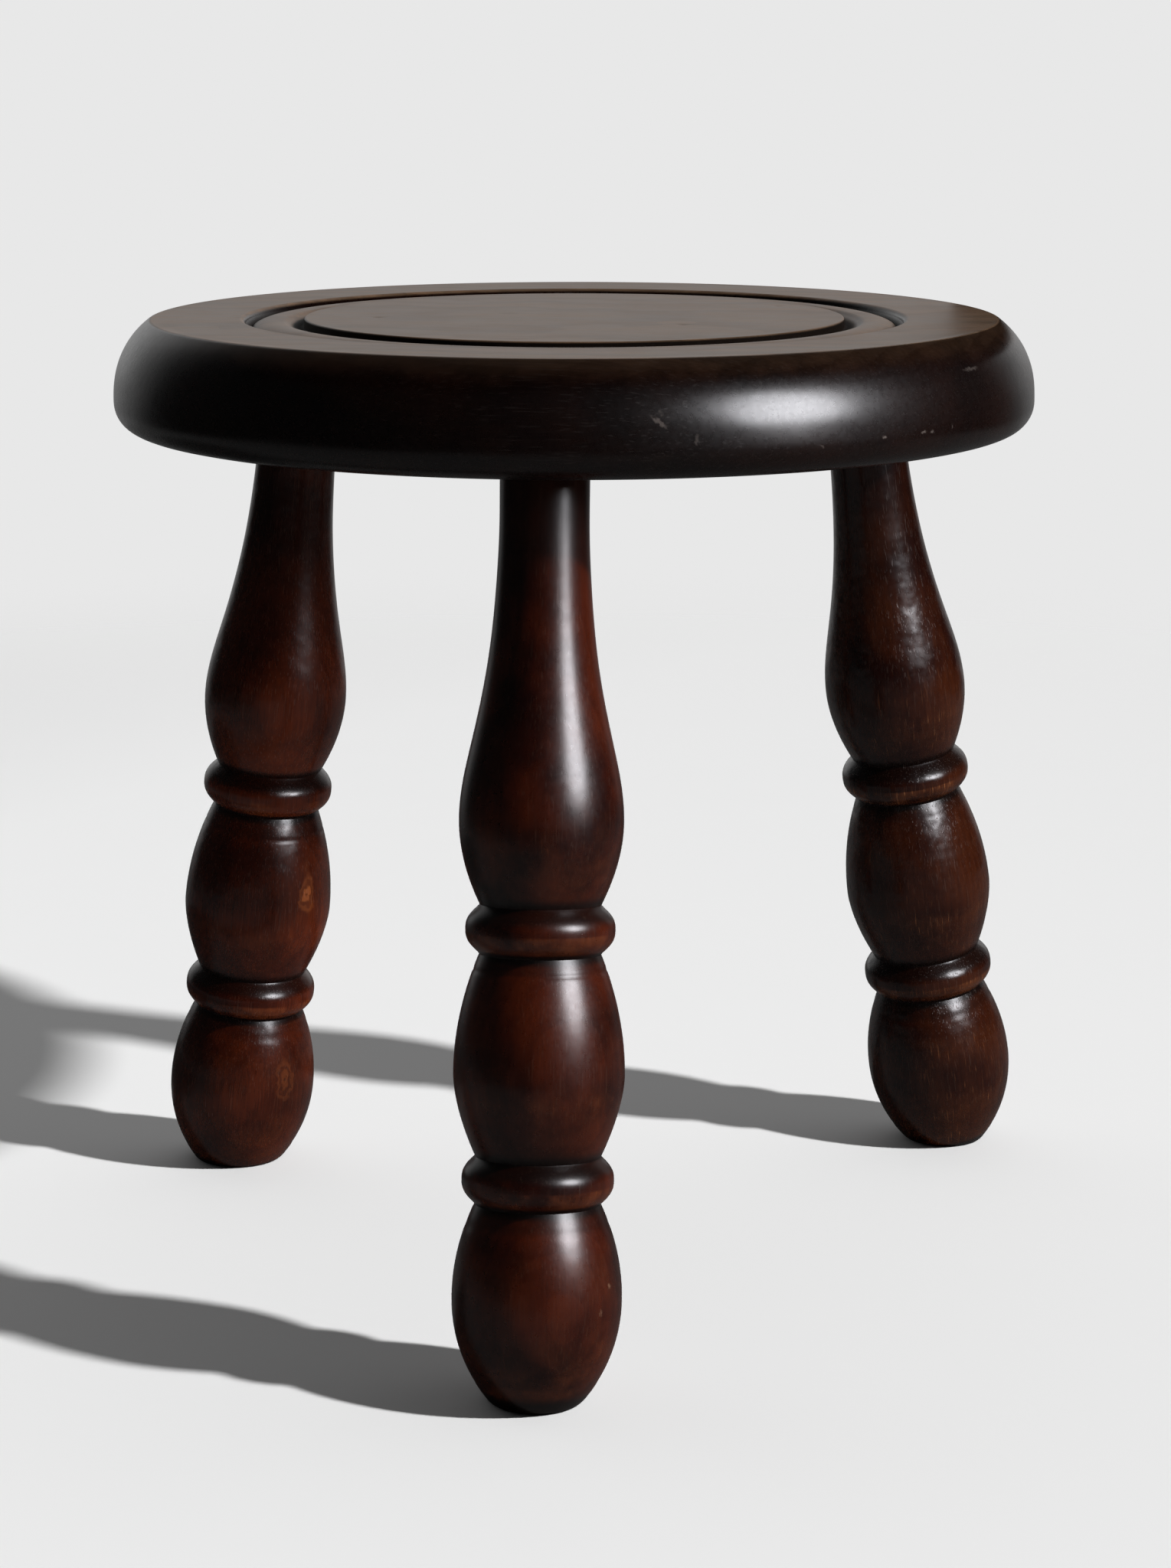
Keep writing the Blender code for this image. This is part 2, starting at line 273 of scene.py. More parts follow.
# pale paper that comes out even under the lamp and keeps the shadow
floorLook = {
    "reach": 3.0,
    "ambient": 0.155,  # soft light that it gets
    "ambientSlope": 0.05,  # and how much more of it per metre towards the back
    "whitest": 0.97,
    "gloss": 0.12,  # share of its paleness that the lacquer mirrors
    "bounce": 0.6,  # share that it throws back as soft light
    "fade": (0.8, 1.45),  # it runs out into the background between these radii
}


def layFloor():
    look = floorLook
    lamp = lampLook["lamp"]
    reach = look["reach"]
    mesh = bpy.data.meshes.new("floor")
    mesh.from_pydata([(-reach, -reach, 0), (reach, -reach, 0), (reach, reach, 0), (-reach, reach, 0)],
                     [], [(0, 1, 2, 3)])
    floor = addObject("floor", mesh)
    bpy.data.objects["fill"].light_linking.receiver_collection = allBut("leftOut", floor)  # no second shadow

    material, tree, shader = newMaterial("palePaper")
    tree.nodes.remove(shader)
    place = put(tree, "ShaderNodeNewGeometry").outputs["Position"]
    toLamp = lengthOf(tree, vectors(tree, "SUBTRACT", lamp["place"], place))
    slant = sums(tree, "DIVIDE", lamp["place"][2], toLamp)
    soft = sums(tree, "MULTIPLY_ADD", apart(tree, place)["Y"], look["ambientSlope"], look["ambient"])
    received = sums(tree, "MULTIPLY_ADD", slant, lamp["level"], soft)
    paper = sums(tree, "MINIMUM", sums(tree, "DIVIDE", roomLook["pale"], received), look["whitest"])
    path = put(tree, "ShaderNodeLightPath").outputs
    share = shift(tree, path["Is Glossy Ray"], look["bounce"], look["gloss"])
    share = shift(tree, plainlySeen(tree, path), share, 1.0)
    diffuse = put(tree, "ShaderNodeBsdfDiffuse", {"Color": sums(tree, "MULTIPLY", paper, share)}).outputs[0]
    clear = put(tree, "ShaderNodeBsdfTransparent").outputs[0]
    fade = span(tree, lengthOf(tree, place), *look["fade"])
    both = put(tree, "ShaderNodeMixShader", {0: fade, 1: diffuse, 2: clear}).outputs[0]
    tree.links.new(both, tree.nodes["Material Output"].inputs["Surface"])
    mesh.materials.append(material)


# a black card just above the seat's edge keeps the shine lamp off its top, which would turn white from behind
cardLook = {
    "gap": 0.003,
    "rise": 0.0005,
    "height": 0.15,
    "arc": (-134, 35),  # degrees round the seat, from its right hand side
    "steps": 40,
}


def addCard():
    look = cardLook
    low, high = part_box("seat")
    radius = (high[0] - low[0]) / 2 + look["gap"]
    bottom = high[2] + look["rise"]
    start, end = look["arc"]
    points = []
    for step in range(look["steps"] + 1):
        angle = math.radians(start + (end - start) * step / look["steps"])
        x = (low[0] + high[0]) / 2 + radius * math.cos(angle)
        y = (low[1] + high[1]) / 2 + radius * math.sin(angle)
        points += [(x, y, bottom), (x, y, bottom + look["height"])]
    mesh = bpy.data.meshes.new("card")
    mesh.from_pydata(points, [], [(k, k + 2, k + 3, k + 1) for k in range(0, 2 * look["steps"], 2)])
    card = addObject("card", mesh)
    card.visible_camera = False
    card.visible_diffuse = False
    card.visible_transmission = False
    felt, _, shader = newMaterial("blackFelt")
    shader.inputs["Base Color"].default_value = (0.0, 0.0, 0.0, 1.0)
    shader.inputs["Specular IOR Level"].default_value = 0.0
    mesh.materials.append(felt)
    passed = allBut("passed", card)
    for name in ("lamp", "fill"):  # it throws no shadow of the other lamps
        bpy.data.objects[name].light_linking.blocker_collection = passed


addHardLamp("lamp")
addDiskLamp("shine")
addDiskLamp("fill")
paintRoom()
layFloor()
addCard()
print("room lit")


# dark stain under satin lacquer, laid out in millimetres: x and y across the grain, z along it;
# draw and scale are how often a noise repeats per millimetre, a pair is where a mark starts and is full
woodLook = {
    "ringDrift": {"scale": 0.02, "reach": 9.0},
    "late": (0.35, 0.95),  # dark part of each growth ring
    "lateTint": (0.42, 0.30, 0.26),
    "knotDrift": {"scale": 0.22, "reach": 6.0},
    "knotDraw": (1.0, 1.0, 0.42),
    "knotLine": 1.0, "knotLines": (0.15, 0.8), "knotFaint": 0.25, "knotCore": 0.2, "knotShare": 0.8,
    "fibre": {"draw": (1.5, 1.5, 0.045), "detail": 3.0, "rough": 0.65},
    "fibreDark": (0.62, 0.36), "fibreTint": (0.35, 0.28, 0.25),
    "fleckDraw": (1.5, 1.5, 0.12), "fleckDetail": 1.0, "fleck": (0.62, 0.72),
    "fleckRadius": 25.0,  # on a turned piece they are laid round this radius
    "fleckRubbed": 0.94, "fleckPlain": 0.06,  # how far they show through rubbed stain, and through any
    "cloud": {"scale": 0.03, "detail": 3.0}, "cloudy": (0.32, 0.68),
    "patch": {"scale": 0.085, "detail": 4.0, "rough": 0.6}, "patchy": (0.36, 0.64),
    "scratch": {"draw": (1.9, 1.9, 0.07), "move": (31.0, 11.0, 5.0), "detail": 1.0},
    "scratched": (0.64, 0.72), "scratchRough": 0.6,
    "peel": {"scale": 0.55, "detail": 2.0}, "peeled": (0.25, 0.75),
    "wave": {"scale": 0.16, "detail": 1.0},
    "nickDrift": {"scale": 0.9, "reach": 1.6}, "nick": (1.0, 0.35),
    "streak": {"draw": (0.22, 0.22, 0.012), "move": (3.0, 9.0, 4.0), "detail": 4.0, "rough": 0.6},
    "streaky": (0.36, 0.64),
    "settleStreak": 0.6, "settlePatch": 0.2, "settle": (0.22, 0.58), "settleShare": (0.8, 1.0),
    "dustAndSheenLateTint": (0.55, 0.48, 0.42), "dustAndSheenFibre": (0.6, 0.36), "dustAndSheenFibreTint": (0.5, 0.44, 0.40),
    "lacquer": 1.5,  # index of refraction
}


def knotMarks(tree, knots, body):  # small bright ovals where the figure shows
    wood = woodLook
    wandering = drift(tree, body, wood["knotDrift"])
    knot = 0.0
    for spot, size, strength in knots:
        oval = lengthOf(tree, stretch(tree, vectors(tree, "SUBTRACT", wandering, spot), wood["knotDraw"]))
        lines = span(tree, sums(tree, "PINGPONG", oval, wood["knotLine"]), *wood["knotLines"],
                     wood["knotFaint"] * strength, strength)
        within = span(tree, oval, size, size * wood["knotCore"])
        knot = sums(tree, "MAXIMUM", knot, sums(tree, "MULTIPLY", lines, within))
    return knot


def nickMarks(tree, nicks, body):  # small ovals knocked pale
    wood = woodLook
    ragged = drift(tree, body, wood["nickDrift"])
    nick = 0.0
    for spot, reach, slant, strength in nicks:
        oval = {"Vector": ragged, "Location": spot, "Scale": reach, "Rotation": inRadians(slant)}
        away = lengthOf(tree, put(tree, "ShaderNodeMapping", oval, vector_type="TEXTURE").outputs[0])
        nick = sums(tree, "MAXIMUM", nick, span(tree, away, *wood["nick"], 0.0, strength))
    return nick


def fleckMarks(tree, look, body, grain):
    wood = woodLook
    if look["round"]:  # on a turned piece the flecks run down its outside
        parts = apart(tree, body)
        girth = sums(tree, "MULTIPLY", sums(tree, "ARCTAN2", parts["Y"], parts["X"]), wood["fleckRadius"])
        grain = put(tree, "ShaderNodeCombineXYZ", {0: girth, 2: parts["Z"]}).outputs[0]
    drawn = {"draw": wood["fleckDraw"], "move": look["shift"], "detail": wood["fleckDetail"]}
    return span(tree, grains(tree, grain, drawn), *wood["fleck"])


def woodFigure(tree, look, body, grain):
    wood = woodLook
    ringSpot = drift(tree, grain, wood["ringDrift"])  # growth rings round a pith outside the piece
    ringSpot = stretch(tree, ringSpot, (1.0, 1.0, 0.0), look["pith"], look["pithTilt"])
    ring = sums(tree, "FRACT", sums(tree, "DIVIDE", lengthOf(tree, ringSpot), look["ringWidth"]))
    patch = span(tree, blots(tree, grain, wood["patch"]), *wood["patchy"])
    scratch = 0.0
    for turn in look["scratchTurns"]:
        line = span(tree, grains(tree, grain, wood["scratch"], turn), *wood["scratched"])
        scratch = sums(tree, "MAXIMUM", scratch, line)
    figure = {
        "late": span(tree, ring, *wood["late"]),
        "fleck": fleckMarks(tree, look, body, grain),
        "fibre": grains(tree, grain, wood["fibre"]),
        "cloud": span(tree, blots(tree, grain, wood["cloud"]), *wood["cloudy"]),
        "patch": patch,
        "rub": sums(tree, "MULTIPLY", marked(tree, "wear"), patch),
        "scratch": scratch,
        "peel": blots(tree, grain, wood["peel"]),
        "wave": blots(tree, grain, wood["wave"]),
    }
    for kind, drawMarks in (("knots", knotMarks), ("nicks", nickMarks)):
        if kind in look:
            figure[kind] = drawMarks(tree, look[kind], body)
    return figure


def stainColour(tree, look, figure, grimeAndShade):
    wood = woodLook
    colour = tint(tree, figure["cloud"], look["deep"], look["warm"])
    colour = tint(tree, sums(tree, "MULTIPLY", figure["rub"], look["rubbed"]), colour, look["worn"])
    shown = sums(tree, "MULTIPLY_ADD", figure["rub"], wood["fleckRubbed"], wood["fleckPlain"])
    shown = sums(tree, "MULTIPLY", sums(tree, "MULTIPLY", figure["fleck"], shown), look["flecks"])
    colour = tint(tree, shown, colour, look["fleckTint"])
    late = sums(tree, "MULTIPLY", figure["late"], look["rings"])
    colour = tint(tree, late, colour, wood["lateTint"], "MULTIPLY")
    fibres = span(tree, figure["fibre"], *wood["fibreDark"], 0.0, look["fibres"])
    colour = tint(tree, fibres, colour, wood["fibreTint"], "MULTIPLY")
    if "knots" in figure:
        knot = sums(tree, "MULTIPLY", figure["knots"], wood["knotShare"])
        colour = tint(tree, knot, colour, look["knotTint"])
    # grime, with painted shade in grooves, under swellings and under the seat
    return tint(tree, grimeAndShade, colour, look["grimeAndShadeTint"])


# dust on the seat's top: its pale tint is partly real dust and partly painted sheen, the grey the top shows
# at low angles
def dustAndSheenColour(tree, dustAndSheen, figure, streak):  # worn dull wood, with the grain still in it
    wood = woodLook
    dull = tint(tree, span(tree, streak, *wood["streaky"]), dustAndSheen["tint"], dustAndSheen["warm"])
    late = sums(tree, "MULTIPLY", figure["late"], dustAndSheen["figure"])
    dull = tint(tree, late, dull, wood["dustAndSheenLateTint"], "MULTIPLY")
    fibres = span(tree, figure["fibre"], *wood["dustAndSheenFibre"], 0.0, dustAndSheen["figure"])
    return tint(tree, fibres, dull, wood["dustAndSheenFibreTint"], "MULTIPLY")


def stainWood(name, look, place=nought, turn=nought):
    wood = woodLook
    material, tree, shader = newMaterial(name)
    local = {"Vector": put(tree, "ShaderNodeTexCoord").outputs["Object"], "Location": place, "Rotation": turn}
    local = put(tree, "ShaderNodeMapping", local, vector_type="TEXTURE").outputs[0]
    body = stretch(tree, local, [perMetre] * 3)
    grain = stretch(tree, body, (1.0, 1.0, 1.0), look["shift"], look["turn"])
    # grime, and painted shade where grooves, the parts under swellings and the tops of the legs are darkened
    grimeAndShade = marked(tree, "grimeAndShade")
    figure = woodFigure(tree, look, body, grain)

    colour = stainColour(tree, look, figure, grimeAndShade)
    uneven = look["roughSpread"]
    rough = span(tree, figure["peel"], *wood["peeled"], look["rough"] - uneven, look["rough"] + uneven)
    rough = shift(tree, grimeAndShade, rough, look["grimeAndShadeRough"])
    # dust on the top, with painted sheen in its pale tint
    if "dustAndSheen" in look:
        streak = grains(tree, grain, wood["streak"])
        mottle = sums(tree, "ADD", sums(tree, "MULTIPLY", streak, wood["settleStreak"]),
                      sums(tree, "MULTIPLY", figure["patch"], wood["settlePatch"]))
        settled = span(tree, mottle, *wood["settle"], *wood["settleShare"])
        settled = sums(tree, "MULTIPLY", marked(tree, "dustAndSheen"), settled)
        colour = tint(tree, settled, colour, dustAndSheenColour(tree, look["dustAndSheen"], figure, streak))
        rough = shift(tree, settled, rough, look["dustAndSheen"]["rough"])
    if "nicks" in figure:
        colour = tint(tree, figure["nicks"], colour, look["nickTint"])
    scratch = figure["scratch"]
    colour = tint(tree, sums(tree, "MULTIPLY", scratch, look["scratchPale"]), colour, look["nickTint"])
    rough = shift(tree, sums(tree, "MULTIPLY", scratch, look["scratchDull"]), rough, wood["scratchRough"])

    height = 0.0
    for mark, rise in look["rise"].items():
        height = sums(tree, "MULTIPLY_ADD", figure[mark], rise, height)
    dress(tree, shader, colour, rough, height)
    shader.inputs["IOR"].default_value = wood["lacquer"]
    shader.inputs["Specular IOR Level"].default_value = look["shine"]
    return material


# turning helpers: a row is a radius and a height
def allRound(count):
    return [2 * math.pi * step / count for step in range(count)]


def swell(start, end, fullness, count):
    rows = []
    for step in range(1, count + 1):
        share = step / count
        rows.append((start[0] + (end[0] - start[0]) * share ** fullness,
                     start[1] + (end[1] - start[1]) * share))
    return rows


def quarter(centre, halfWidth, halfHeight, startAngle, count):
    rows = []
    for step in range(count + 1):
        angle = math.radians(startAngle - 90 * step / count)
        rows.append((centre[0] + halfWidth * math.cos(angle), centre[1] + halfHeight * math.sin(angle)))
    return rows


def bend(points, count):  # from the first point to the last, pulled towards those between
    last = len(points) - 1
    rows = []
    for step in range(1, count + 1):
        share = step / count
        weights = [math.comb(last, k) * (1 - share) ** (last - k) * share ** k for k in range(last + 1)]
        rows.append(tuple(sum(weight * point[axis] for weight, point in zip(weights, points))
                          for axis in (0, 1)))
    return rows


def ease(value, low, high):
    share = min(1.0, max(0.0, (value - low) / (high - low)))
    return share * share * (3 - 2 * share)


def meshFromRings(name, rings, topPole, bottomPole):
    columns = len(rings[0])
    points = [topPole] + [point for ring in rings for point in ring] + [bottomPole]
    faces = []
    last = len(points) - 1
    for column in range(columns):
        following = (column + 1) % columns
        faces.append((0, 1 + column, 1 + following))
        for row in range(len(rings) - 1):
            upper = 1 + row * columns
            lower = upper + columns
            faces.append((upper + column, lower + column, lower + following, upper + following))
        base = 1 + (len(rings) - 1) * columns
        faces.append((base + following, base + column, last))
    mesh = bpy.data.meshes.new(name)
    mesh.from_pydata([[value * mm for value in point] for point in points], [], faces)
    mesh.validate()
    return mesh


def cutAway(piece, cutters):
    for cutter in cutters:
        cut = piece.modifiers.new("cut", "BOOLEAN")
        cut.operation = "DIFFERENCE"
        cut.solver = "EXACT"
        cut.object = cutter
    bpy.context.view_layer.update()
    evaluated = piece.evaluated_get(bpy.context.evaluated_depsgraph_get())
    carved = bpy.data.meshes.new_from_object(evaluated)
    piece.modifiers.clear()
    piece.data = carved
    for cutter in cutters:
        bpy.data.objects.remove(cutter, do_unlink=True)


def shadeTurned(mesh, angle):
    mesh.polygons.foreach_set("use_smooth", [True] * len(mesh.polygons))
    mesh.set_sharp_from_angle(angle=math.radians(angle))


def writeMarks(mesh, marks):
    for name, values in marks.items():
        layer = mesh.attributes.new(name, "FLOAT", "POINT")
        layer.data.foreach_set("value", values)


# joint between leg and seat, in millimetres
jointLook = {
    "clearance": 0.3,
    "roof": 11.0,  # wood left above the socket
    "chamfer": 1.0,
    "wedgeLength": 15.0,
    "wedgeButt": 4.4,
    "wedgeTip": 1.6,
    "margin": 8.0,  # how far a cutter stands out
    "socketSides": 72,
}

# seat board, in millimetres from its own axis
seatLook = {
    "top": 312.0, "radius": 150.0, "thickness": 34.7,
    "arris": 137.8, "arrisRound": 0.9, "arrisReach": 0.85, "arrisMerge": 0.2, "arrisDrop": 8.4,
    "topRoundDepth": 25.6, "bottomRoundWidth": 8.0,
    "rimWidth": 41.0, "ringWidth": 21.0, "rimLip": 2.0, "discLip": 0.9,
    "outerGrooveWidth": 3.8, "outerGrooveDepth": 4.2,
    "innerGrooveWidth": 0.8, "innerGrooveDepth": 3.4, "innerWallFoot": (0.1, 0.4),
    "beadDrop": 0.9, "beadCrestInset": 11.5, "beadArrisInset": 14.8, "beadArrisDrop": 0.25,
    "covePull": (2.6, 0.2), "beadPull": 1.5,
    "steps": {"discLip": 5, "cove": 9, "beadRise": 5, "beadFall": 14, "rimLip": 7, "arris": 6, "edge": 34,
              "bottom": 12},
    "topStep": 2.0, "undersideStep": 4.0, "columns": 320, "sharpAngle": 42,
    "skin": 0.01,  # a point this close to a flat face lies on it
    "topWave": 0.06, "topWaveScale": (0.03, 0.05), "topWaveSlice": 1.7,
    "edgeWave": 0.16, "edgeWaveScale": (0.035, 0.035, 0.12), "edgeWaveFrom": (132.0, 148.0),
    # x, y, size, depth
    "dents": [(-63.0, -9.0, 1.6, 0.35), (37.0, -28.0, 1.6, 0.35), (66.0, 42.0, 1.3, 0.25)],
}
seatFinish = {
    "shift": nought, "turn": (0.0, 90.0, 0.0), "round": False,
    "pith": (60.0, 12.0, 0.0), "pithTilt": (2.0, 3.0, 0.0), "ringWidth": 3.4,
    "deep": (0.0025, 0.0006, 0.0004), "warm": (0.006, 0.0015, 0.0008), "worn": (0.013, 0.005, 0.003),
    # the grime tint also paints shade into the sunk ring
    "fleckTint": (0.05, 0.018, 0.009), "grimeAndShadeTint": (0.007, 0.005, 0.004), "nickTint": (0.2, 0.165, 0.15),
    # the top's dust, whose pale tint also paints part of its low-angle sheen
    "dustAndSheen": {"tint": (0.124, 0.079, 0.049), "warm": (0.148, 0.088, 0.052), "figure": 0.45, "rough": 0.46},
    "rubbed": 0.6, "flecks": 0.04, "rings": 0.2, "fibres": 0.3,
    "scratchTurns": [(35.0, 0.0, 0.0), (-20.0, 30.0, 0.0)], "scratchPale": 0.02, "scratchDull": 0.15,
    "rough": 0.28, "roughSpread": 0.015, "grimeAndShadeRough": 0.95, "shine": 0.5,
    "rise": {"fibre": 0.001, "peel": 0.001, "wave": 0.035, "scratch": -0.001, "fleck": -0.0005},
    "nicks": [((35.9, -145.0, 298.3), (0.9, 1.5, 2.8), nought, 0.32),  # place, size, slant, strength
              ((35.5, -145.1, 294.6), (3.6, 2.0, 0.9), (0.0, 38.0, 0.0), 0.3),
              ((46.1, -142.1, 289.3), (0.7, 1.2, 2.2), nought, 0.16),
              ((81.9, -124.9, 285.7), (1.1, 1.1, 0.7), nought, 0.2),
              ((100.1, -110.9, 286.8), (1.1, 1.1, 0.7), nought, 0.38),
              ((111.8, -99.1, 287.0), (1.5, 1.5, 0.6), nought, 0.3),
              ((114.4, -96.1, 286.7), (1.0, 1.0, 0.6), nought, 0.28),
              ((120.5, -88.3, 287.4), (0.7, 0.7, 1.4), nought, 0.28),
              ((126.2, -72.4, 303.1), (6.0, 1.5, 0.7), (0.0, 0.0, 60.0), 0.15)],
}
underside = seatLook["top"] - seatLook["thickness"]
rimEdge = seatLook["radius"] - seatLook["rimWidth"]
discEdge = rimEdge - seatLook["ringWidth"]

# turned leg, in millimetres; height 0 is the underside of the seat
legPlaces = {
    "front": {"azimuth": -90.0, "lean": 8.8, "inset": 35.0, "barrelScore": 4.7, "scoreDepth": 0.2},
    "right": {"azimuth": 39.4, "lean": 9.7, "inset": 28.0, "barrelScore": 4.7, "scoreDepth": 0.05},
    "left": {"azimuth": 153.1, "lean": 7.2, "inset": 40.0, "barrelScore": 7.0, "scoreDepth": 0.14},
}
legLook = {
    "neckRadius": 13.45, "neckLength": 7.0, "neckEase": 0.65, "vaseEase": 0.22,
    "neckRows": (8.0, 4.0, 1.5, 0.0, -2.0, -4.5),
    "vaseRadius": 24.8, "vaseLower": 25.0, "vaseFullness": 1.9,
    "upperWaist": 18.4, "upperRing": 14.9, "upperRingRadius": 22.65,
    "barrelRadius": 25.9, "barrelUpper": 36.4, "barrelLower": 24.6,
    "barrelUpperFullness": 2.0, "barrelLowerFullness": 1.65,
    "lowerWaist": 19.1, "lowerRing": 14.5, "lowerRingRadius": 23.05,
    "footRadius": 25.8, "footUpper": 28.9, "footFullness": 2.05, "footTip": 36.0, "footArc": 48.0,
    "footTrim": 4.2, "footRound": 1.5, "footSlack": 0.05, "footFlat": (0.75, 0.5, 0.25),
    "ringFullness": 2.6, "ringFlank": 1.35,
    "scoreHalfWidth": 1.0, "footScore": 5.8, "footScoreHalf": 1.6, "footScoreDepth": 0.09,
    "steps": {"taper": 64, "lower": 26, "barrelUpper": 60, "ring": 40, "footUpper": 45, "footLower": 30,
              "footRound": 6, "halvings": 40},
    "columns": 144, "sharpAngle": 40,
    "wobble": 0.10, "wobbleRound": 1.3, "wobbleAlong": 0.045, "wobbleApart": 5, "wobbleFrom": (4.0, 20.0),
    "wobbleFootRows": 25,  # the rest of the foot is cut true
}


def legAxis(place):
    azimuth, lean = math.radians(place["azimuth"]), math.radians(place["lean"])
    outward = Vector((math.cos(azimuth), math.sin(azimuth), 0.0))
    start = outward * (seatLook["radius"] - place["inset"]) + Vector((0.0, 0.0, underside))
    return azimuth, lean, start


def socketDepth(place):
    lean = math.radians(place["lean"])
    socketRadius = legLook["neckRadius"] + jointLook["clearance"]
    room = seatLook["thickness"] - jointLook["roof"] - socketRadius * math.sin(lean)
    return room / math.cos(lean)


def settle(piece, place):
    azimuth, lean, start = legAxis(place)
    piece.location = start * mm + seatAxis
    piece.rotation_euler = (0.0, -lean, azimuth)


# seat: disc, sunk ring, rim, bullnose edge and underside, from the middle of the top outwards
def seatRows():
    look = seatLook
    steps = look["steps"]
    top = look["top"]
    lip, disc = look["rimLip"], look["discLip"]
    innerFloor = (discEdge + look["innerGrooveWidth"], top - look["innerGrooveDepth"])
    outerFloor = (rimEdge - look["outerGrooveWidth"], top - look["outerGrooveDepth"])
    crest = (rimEdge - look["beadCrestInset"], top - look["beadDrop"])
    beadArris = (rimEdge - look["beadArrisInset"], crest[1] - look["beadArrisDrop"])
    wallFoot = (discEdge + look["innerWallFoot"][0], innerFloor[1] + look["innerWallFoot"][1])
    covePull = (innerFloor[0] + look["covePull"][0], innerFloor[1] + look["covePull"][1])
    step = look["topStep"]
    rows = [(count * step, top) for count in range(1, int((discEdge - disc) / step))]
    rows += quarter((discEdge - disc, top - disc), disc, disc, 90, steps["discLip"])
    rows += [wallFoot, innerFloor]
    rows += bend([innerFloor, covePull, beadArris], steps["cove"])
    rows += bend([beadArris, (crest[0] - look["beadPull"], crest[1]), crest], steps["beadRise"])
    rows += quarter((crest[0], outerFloor[1]), outerFloor[0] - crest[0], crest[1] - outerFloor[1], 90,
                    steps["beadFall"])[1:]
    rows += quarter((rimEdge, top - lip), lip, lip, 180, steps["rimLip"])

    arris, soft = look["arris"], look["arrisRound"]
    outer, drop = look["radius"], look["arrisDrop"]
    widest = top - look["topRoundDepth"]
    rows += [(rimEdge + count * step, top) for count in range(1, int((arris - soft - rimEdge) / step))]
    reach = soft * look["arrisReach"]
    eased = (arris + reach, top - reach * drop / (outer - arris))
    rows += [(arris - soft, top)]
    rows += bend([(arris - soft, top), (arris, top), eased], steps["arris"])
    edge = bend([(arris, top), (outer, top - drop), (outer, widest)], steps["edge"])
    rows += [row for row in edge if row[0] > eased[0] + look["arrisMerge"]]
    inner = outer - look["bottomRoundWidth"]
    rows += quarter((inner, widest), look["bottomRoundWidth"], widest - underside, 0, steps["bottom"])[1:]
    step = look["undersideStep"]
    rows += [(inner - count * step, underside) for count in range(1, int(inner / step))]
    return rows


def dentsAt(x, y):
    return [(math.exp(-((x - dentX) ** 2 + (y - dentY) ** 2) / size ** 2), depth)
            for dentX, dentY, size, depth in seatLook["dents"]]


def seatPoint(radius, height, angle):
    look = seatLook
    x, y = radius * math.cos(angle), radius * math.sin(angle)
    if height > look["top"] - look["skin"]:  # dents and a gentle waviness in the top face
        height -= sum(depth * hit for hit, depth in dentsAt(x, y))
        across, along = look["topWaveScale"]
        height += look["topWave"] * (noise.noise((x * across, y * along, look["topWaveSlice"])) - 1)
    if height > underside + look["skin"]:  # an edge turned by hand
        spot = [value * scale for value, scale in zip((x, y, height), look["edgeWaveScale"])]
        radius += look["edgeWave"] * (noise.noise(spot) - 1) * ease(radius, *look["edgeWaveFrom"])
        x, y = radius * math.cos(angle), radius * math.sin(angle)
    return (x, y, height)


# where the seat is rubbed, where grime and painted shade sit in the sunk ring and grime in the dents, and
# where the top has gone dull under dust with painted sheen; depths in millimetres
seatMarks = {
    "ringMargin": 1.0, "ringDepth": 8.0,
    # the sunk ring and the disc's wall are darkened: grime and painted shade
    "sunk": (1.8, 3.3), "wall": (-0.8, -0.45), "wallReach": 1.5, "ringGrimeAndShade": 0.97,
    "ringFlat": (0.4, 0.85), "topFlat": (0.9, 0.985),  # upward parts of the normal
    "shoulder": (0.55, 0.9), "shoulderDustAndSheen": 0.15, "dustAndSheenDepth": 10.0,
    "arrisDepth": 4.0, "arrisWidth": 3.0, "arrisFrom": (136.0, 141.0),
    "sideFrom": (146.0, 150.0), "sideWear": 0.25,
    "dentDepth": 2.0, "dentGrime": 0.9,
}


def markSeat(mesh):
    marks = seatMarks
    wear, grimeAndShade, dustAndSheen = [], [], []
    for vertex in mesh.vertices:
        x, y, z = (value / mm for value in vertex.co)
        radius, depth, upward = math.hypot(x, y), seatLook["top"] - z, vertex.normal.z
        margin = marks["ringMargin"]
        inRing = discEdge - margin < radius < rimEdge + margin and depth < marks["ringDepth"]
        # grime and painted shade in the sunk ring and on the disc's wall; the dents hold grime
        sunk = ease(depth, *marks["sunk"]) if inRing else 0.0
        onWall = inRing and radius < discEdge + marks["wallReach"]
        wall = ease(-upward, *marks["wall"]) if onWall else 0.0
        hit = max(dentsAt(x, y))[0] if depth < marks["dentDepth"] else 0.0
        grimeAndShade.append(max(marks["ringGrimeAndShade"] * max(sunk, wall), marks["dentGrime"] * hit))
        # dust, with painted sheen, on flat tops and a little on the shoulder of the edge
        flat = ease(upward, *marks["ringFlat" if inRing else "topFlat"])
        flat = max(flat, marks["shoulderDustAndSheen"] * ease(upward, *marks["shoulder"]))
        dustAndSheen.append(flat * (1.0 - sunk) if depth < marks["dustAndSheenDepth"] else 0.0)
        away = (depth - marks["arrisDepth"]) / marks["arrisWidth"]
        arris = math.exp(-away ** 2) * ease(radius, *marks["arrisFrom"])
        wear.append(min(1.0, arris + marks["sideWear"] * ease(radius, *marks["sideFrom"])))
    writeMarks(mesh, {"wear": wear, "grimeAndShade": grimeAndShade, "dustAndSheen": dustAndSheen})


